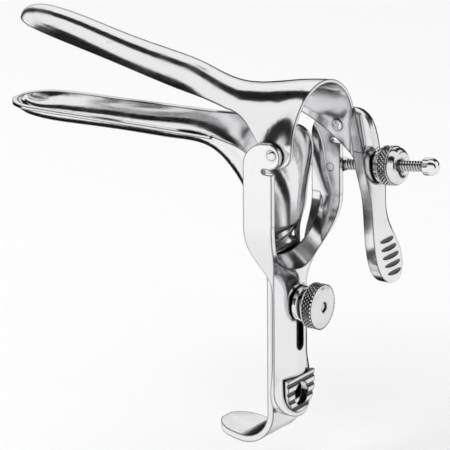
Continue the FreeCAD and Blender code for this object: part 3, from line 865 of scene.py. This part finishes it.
@dataclass
class ClampScrew:
    """The screw that holds the lower blade: stud, washer and knurled knob, in metres."""

    height: float = -60.0 * MM
    knob_front: float = -0.95 * MM
    hub_radius: float = 4.6 * MM
    hub_length: float = 2.7 * MM
    knob_radius: float = 8.1 * MM
    knob_thick: float = 5.2 * MM
    knob_teeth: int = 34
    stud_radius: float = 1.8 * MM
    face_crown: float = 0.90 * MM
    face_rings: tuple[float, ...] = (1.4 * MM, 3.0 * MM, 4.6 * MM)
    front_round: float = 0.4 * MM
    rear_round: float = 0.75 * MM
    rear_steps: int = 6
    rear_inset: float = 0.05 * MM
    knurl_front: float = 0.5 * MM
    knurl_rear: float = 0.95 * MM
    knurl_depth: float = 0.65 * MM
    mouth_wide: float = 0.45 * MM
    mouth_deep: float = 0.35 * MM
    crease: float = 40.0

    def lathe(self, start: float, steps: int) -> Turning:
        """Return a lathe on the screw's axis that starts at a given X."""
        return Turning(Vector((start, 0.0, self.height)), Vector((1, 0, 0)), Vector((0, 0, 1)),
                       steps)

    def build_knob(self) -> bpy.types.Object:
        """Build the knob: a hub, a knurled rim and a bright crowned face with its bore.

        Returns:
            The knob.
        """
        bore = self.stud_radius + BORE_GAP
        end = self.hub_length + self.knob_thick
        rim = self.knob_radius
        knurl = DiamondKnurl(self.hub_length + self.knurl_front, end - self.knurl_rear, rim,
                             self.knob_teeth, self.knurl_depth)
        front_edge = rounded((self.hub_length, rim), (self.hub_length, 0.0), (end, rim),
                             self.front_round)
        crown = end - self.face_crown
        rear_edge = rounded((crown, rim - self.rear_inset), (self.hub_length, rim), (crown, 0.0),
                            self.rear_round, self.rear_steps)
        radii = [rim - inset for inset in self.face_rings] + [bore + self.mouth_wide]
        face = [(end - self.face_crown * (radius / rim) ** 2, radius) for radius in radii]
        profile = [(0.0, bore), (0.0, self.hub_radius), (self.hub_length, self.hub_radius),
                   *front_edge, *knurl.rings(), *rear_edge, *face, (end - self.mouth_deep, bore)]
        lathe = self.lathe(self.knob_front, self.knob_teeth * STEPS_PER_TOOTH)
        piece = lathe.turn("knurled_clamp_knob", profile, knurl.height, closed=True)
        sharpen(piece, self.crease)
        return piece

    def assemble(self, steel: Steelwork) -> None:
        """Build the pieces, place them on their bodies and give them their finish.

        Args:
            steel: The finishes.
        """
        place_piece(self.build_knob(), "clamp_nut", "clamp_knob", Slot.KNURLED, steel)
        steel.dress(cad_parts["clamp_stud"], Slot.SCREW)
        steel.dress(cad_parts["clamp_washer"], Slot.RIVET)


def place_piece(piece: bpy.types.Object, body: str, node: str, slot: Slot,
                steel: Steelwork) -> None:
    """Set a built piece on its body in place of its solid, and give it its finish.

    Args:
        piece: The piece.
        body: The body it moves with.
        node: The solid that it stands for.
        slot: The record's slot whose finish it takes.
        steel: The finishes.
    """
    steel.dress(piece, slot)
    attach(piece, body)
    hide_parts(node)
    log.info("%s on %s", piece.name, body)


@dataclass(frozen=True)
class ShoulderStation:
    """One level of the shoulder, in millimetres: height, left and right edge, crown's foot, leg."""

    height: float
    left: float
    right: float
    ridge: float
    leg: float


@dataclass
class LeverShoulder:
    """The shoulder over the lever's root, where the flank runs out into it, in millimetres."""

    stations: tuple[ShoulderStation, ...] = (
        ShoulderStation(7.0, 19.56, 21.5, 6.6, 0.9),
        ShoulderStation(6.3, 19.55, 23.4, 6.9, 1.3),
        ShoulderStation(5.2, 19.54, 25.4, 7.34, 2.0),
        ShoulderStation(3.5, 19.54, 27.4, 7.85, 2.8),
        ShoulderStation(1.0, 19.54, 29.3, 8.46, 3.8),
        ShoulderStation(-2.0, 19.54, 30.4, 9.02, 3.8),
        ShoulderStation(-5.0, 19.40, 30.8, 9.66, 3.8),
        ShoulderStation(-8.6, 19.12, 30.7, 10.46, 3.8),
    )
    crown: float = 1.5
    full_width: float = 10.0
    sheet: float = 1.2
    arc_steps: int = 24
    web_near: float = 19.5
    web_far: float = 20.9
    web: tuple[tuple[float, float], ...] = (
        (5.4, 6.4), (6.7, 7.0), (8.2, 1.0), (9.6, -6.0), (12.4, -19.5),
        (9.2, -19.5), (8.6, -16.2), (7.5, -12.8), (5.6, -9.9), (3.0, -7.6),
    )

    def outline(self, station: ShoulderStation, inset: float) -> list[Vector]:
        """Return one edge of a station's channel, from its left foot over the crown to the right.

        Args:
            station: The station, in millimetres.
            inset: How far inside the outer face the edge lies, in millimetres.

        Returns:
            Its points in metres.
        """
        left, right = station.left + inset, station.right - inset
        half = (right - left) / 2
        rise = self.crown * min(1.0, (station.right - station.left) / self.full_width)
        foot = station.ridge - station.leg
        found = [Vector((foot, left, station.height))]
        for step in range(self.arc_steps + 1):
            across = -1.0 + 2.0 * step / self.arc_steps
            found.append(Vector((station.ridge - inset + rise * (1.0 - across * across),
                                 left + half * (across + 1.0), station.height)))
        found.append(Vector((foot, right, station.height)))
        return [point * MM for point in found]

    def build_channel(self) -> bpy.types.Object:
        """Build the crowned channel between its stations.

        Returns:
            The channel.
        """
        points, faces = [], []
        for station in self.stations:
            points += self.outline(station, 0.0) + self.outline(station, self.sheet)[::-1]
        ring = 2 * (self.arc_steps + 3)
        for level in range(len(self.stations) - 1):
            low, high = level * ring, (level + 1) * ring
            for step in range(ring):
                following = (step + 1) % ring
                faces.append((low + step, low + following, high + following, high + step))
        for end in (0, (len(self.stations) - 1) * ring):
            for step in range(ring // 2 - 1):
                faces.append((end + step, end + step + 1,
                              end + ring - 2 - step, end + ring - 1 - step))
        return add_mesh("lever_shoulder", points, faces)

    def build_web(self) -> bpy.types.Object:
        """Build the flat sheet that carries the flank into the lever round a soft corner.

        Returns:
            The sheet.
        """
        count = len(self.web)
        points = [Vector((x, y, z)) * MM
                  for y in (self.web_near, self.web_far) for x, z in self.web]
        faces = [tuple(range(count)), tuple(range(count, 2 * count))]
        for step in range(count):
            following = (step + 1) % count
            faces.append((step, following, count + following, count + step))
        return add_mesh("lever_web", points, faces)

    def assemble(self, steel: Steelwork) -> None:
        """Build the shoulder, set it on the upper blade and give it its finish.

        Args:
            steel: The finishes.
        """
        for piece in (self.build_channel(), self.build_web()):
            sharpen(piece)
            steel.dress(piece, Slot.POLISHED)
            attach(piece, "upper")


@dataclass
class SheetSteel:
    """The three pressed pieces and the hinge rivets, which keep their solids."""

    pressed: tuple[str, ...] = ("yoke_frame", "upper_blade", "lower_blade")
    rivets: tuple[str, ...] = ("hinge_rivet_left", "hinge_rivet_right")

    def assemble(self, steel: Steelwork) -> None:
        """Give the pressed pieces and the rivets their finish.

        Args:
            steel: The finishes.
        """
        for name in self.pressed:
            steel.dress(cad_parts[name], Slot.POLISHED)
        for name in self.rivets:
            steel.dress(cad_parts[name], Slot.RIVET)


@dataclass(frozen=True)
class Flag:
    """A dark cloth that only reflections show: degrees round and up, then metres, then grey."""

    name: str
    azimuth: float
    elevation: float
    width: float
    tall: float
    away: float
    grey: float = 0.01

    def corners(self) -> list[Vector]:
        """Return its corners, with the cloth turned to the instrument."""
        turn, rise = math.radians(self.azimuth), math.radians(self.elevation)
        out = Vector((math.sin(turn) * math.cos(rise), -math.cos(turn) * math.cos(rise),
                      math.sin(rise)))
        right = Vector((math.cos(turn), math.sin(turn), 0.0))
        up = out.cross(right)
        centre = out * self.away
        return [centre + right * self.width / 2 * x + up * self.tall / 2 * y
                for x, y in ((-1, -1), (1, -1), (1, 1), (-1, 1))]


@dataclass
class Studio:
    """A pale floor, a soft light tent with dark flags, and the camera at the picture's angle."""

    azimuth: float = math.radians(31.96)
    elevation: float = math.radians(16.87)
    distance: float = 1.8356
    pixels_per_metre: float = 2908.7
    picture: float = 450.0
    hinge_at: tuple[float, float] = (307.45, 138.68)
    roll: float = math.radians(0.16)
    sensor: float = 36.0
    clip: tuple[float, float] = (0.05, 50.0)
    floor_gap: float = 14.0 * MM
    floor_half: float = 4.0
    floor_grey: float = 0.93
    tent: float = 0.92
    lamp_at: tuple[float, float, float] = (-0.5, -0.9, 1.1)
    lamp_size: float = 0.7
    lamp_watts: float = 6.0
    low_flag_x: tuple[float, float] = (-0.26, -0.02)
    low_flag_y: tuple[float, float] = (0.035, 0.16)
    low_flag_drop: float = 0.97
    flags: tuple[Flag, ...] = (
        Flag("flag_left", -38.0, 12.0, 0.50, 1.6, 1.5),
        Flag("flag_right", 88.0, 14.0, 0.62, 1.6, 1.5),
        Flag("flag_rear", 178.0, 18.0, 0.90, 1.6, 1.5),
        Flag("flag_far", 250.0, 16.0, 0.60, 1.6, 1.5),
        Flag("flag_over", 20.0, 58.0, 2.6, 0.72, 1.4),
        Flag("flag_over_soft", 20.0, 53.0, 2.8, 1.15, 1.5, grey=0.38),
        Flag("flag_top", 200.0, 60.0, 2.6, 0.50, 1.4),
        Flag("flag_low_middle", 212.0, -8.0, 0.34, 0.16, 0.30),
        Flag("flag_low_right", 268.0, -8.0, 0.22, 0.16, 0.30),
        Flag("flag_knob", 150.0, 4.0, 0.60, 0.30, 1.5),
    )

    def lay(self, name: str, x: tuple[float, float], y: tuple[float, float],
            drop: float) -> bpy.types.Object:
        """Lay a level rectangle under the instrument.

        Args:
            name: Its name.
            x: Where it starts and ends along X, in metres.
            y: Where it starts and ends along Y.
            drop: How far under the instrument's lowest point it lies.

        Returns:
            The rectangle.
        """
        low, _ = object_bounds()
        corners = [Vector((x[i], y[j], low.z - drop)) for i, j in ((0, 0), (1, 0), (1, 1), (0, 1))]
        return add_mesh(name, corners, [(0, 1, 2, 3)], smooth=False)

    def build_floor(self) -> None:
        """Lay the floor where the foot clears it with the lower blade slid all the way down."""
        side = (-self.floor_half, self.floor_half)
        floor = self.lay("studio_floor", side, side, self.floor_gap)
        material = bpy.data.materials.new("pale_floor")
        material.use_nodes = True
        shader = material.node_tree.nodes["Principled BSDF"]
        shader.inputs["Base Color"].default_value = (*(self.floor_grey,) * 3, 1.0)
        shader.inputs["Roughness"].default_value = 0.9
        shader.inputs["Specular IOR Level"].default_value = 0.1
        floor.data.materials.append(material)
        floor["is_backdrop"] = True

    def build_world(self) -> None:
        """Light the scene evenly, with white where the camera and the steel look."""
        world = bpy.data.worlds.new("light_tent")
        bpy.context.scene.world = world
        world.use_nodes = True
        wiring = Wiring(world.node_tree)
        back = world.node_tree.nodes["Background"]
        back.inputs["Color"].default_value = (1.0, 1.0, 1.0, 1.0)
        rays = wiring.add("LightPath").outputs
        seen = wiring.math("MAXIMUM", rays["Is Camera Ray"], rays["Is Glossy Ray"])
        seen = wiring.math("MAXIMUM", seen, rays["Is Transmission Ray"])
        strength = wiring.math("MULTIPLY_ADD", seen, 1.0 - self.tent, self.tent)
        wiring.join(strength, back.inputs["Strength"])

    def finish_flag(self, flag: bpy.types.Object, grey: float) -> None:
        """Give a flag its cloth and keep it out of everything but reflections.

        Args:
            flag: The flag.
            grey: How dark it is, from 0 for black.
        """
        material = bpy.data.materials.new(flag.name + "_cloth")
        material.use_nodes = True
        shader = material.node_tree.nodes["Principled BSDF"]
        shader.inputs["Base Color"].default_value = (grey, grey, grey, 1.0)
        shader.inputs["Roughness"].default_value = 1.0
        shader.inputs["Specular IOR Level"].default_value = 0.0
        flag.data.materials.append(material)
        flag.visible_camera = False
        flag.visible_diffuse = False
        flag.visible_shadow = False
        flag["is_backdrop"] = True

    def hang_flags(self) -> None:
        """Hang the flags round the instrument and lay one just above the floor."""
        for flag in self.flags:
            cloth = add_mesh(flag.name, flag.corners(), [(0, 1, 2, 3)], smooth=False)
            self.finish_flag(cloth, flag.grey)
        drop = self.low_flag_drop * self.floor_gap
        low_cloth = self.lay("flag_under", self.low_flag_x, self.low_flag_y, drop)
        self.finish_flag(low_cloth, Flag.grey)

    def add_lamp(self) -> None:
        """Hang a square soft lamp that faces the instrument and that reflections don't show."""
        data = bpy.data.lights.new("soft_key", "AREA")
        data.size = self.lamp_size
        data.energy = self.lamp_watts
        place = Vector(self.lamp_at)
        lamp = bpy.data.objects.new("soft_key", data)
        lamp.location = place
        lamp.visible_glossy = False
        lamp.rotation_mode = "QUATERNION"
        lamp.rotation_quaternion = (-place).to_track_quat("-Z", "Y")
        bpy.context.scene.collection.objects.link(lamp)

    def build_camera(self) -> None:
        """Set the camera so that the hinge's middle falls where the picture has it."""
        a, e = self.azimuth, self.elevation
        right = Vector((math.cos(a), math.sin(a), 0.0))
        up = Vector((-math.sin(a) * math.sin(e), math.cos(a) * math.sin(e), math.cos(e)))
        back = Vector((math.sin(a) * math.cos(e), -math.cos(a) * math.cos(e), math.sin(e)))
        right, up = (right * math.cos(self.roll) - up * math.sin(self.roll),
                     right * math.sin(self.roll) + up * math.cos(self.roll))
        place = back * self.distance
        half = self.picture / 2
        offset = (half - self.hinge_at[0], self.hinge_at[1] - half)
        aim = (right * (offset[0] / self.pixels_per_metre)
               + up * (offset[1] / self.pixels_per_metre))
        looking = (aim - place).normalized()
        side = looking.cross(up).normalized()
        top = side.cross(looking)
        camera = bpy.data.cameras.new("picture_camera")
        camera.sensor_width = self.sensor
        camera.lens = self.sensor * self.pixels_per_metre * self.distance / self.picture
        camera.clip_start, camera.clip_end = self.clip
        holder = bpy.data.objects.new("picture_camera", camera)
        turned = Matrix((side, top, -looking)).transposed().to_4x4()
        holder.matrix_world = Matrix.Translation(place) @ turned
        bpy.context.scene.collection.objects.link(holder)
        bpy.context.scene.camera = holder

    def set_up(self) -> None:
        """Build the whole studio."""
        bpy.context.scene.view_settings.view_transform = "Standard"
        self.build_world()
        self.build_floor()
        self.hang_flags()
        self.add_lamp()
        self.build_camera()


def main() -> None:
    """Dress the instrument piece by piece and set up the studio."""
    logging.basicConfig(level=logging.INFO, format="%(name)s: %(message)s")
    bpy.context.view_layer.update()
    steel = Steelwork()
    steel.prepare()
    for assembly in (SheetSteel(), LeverShoulder(), AngleScrew(), ClampScrew()):
        assembly.assemble(steel)
        log.info("%s done", type(assembly).__name__)
    Studio().set_up()


if __name__ == "__main__":
    main()
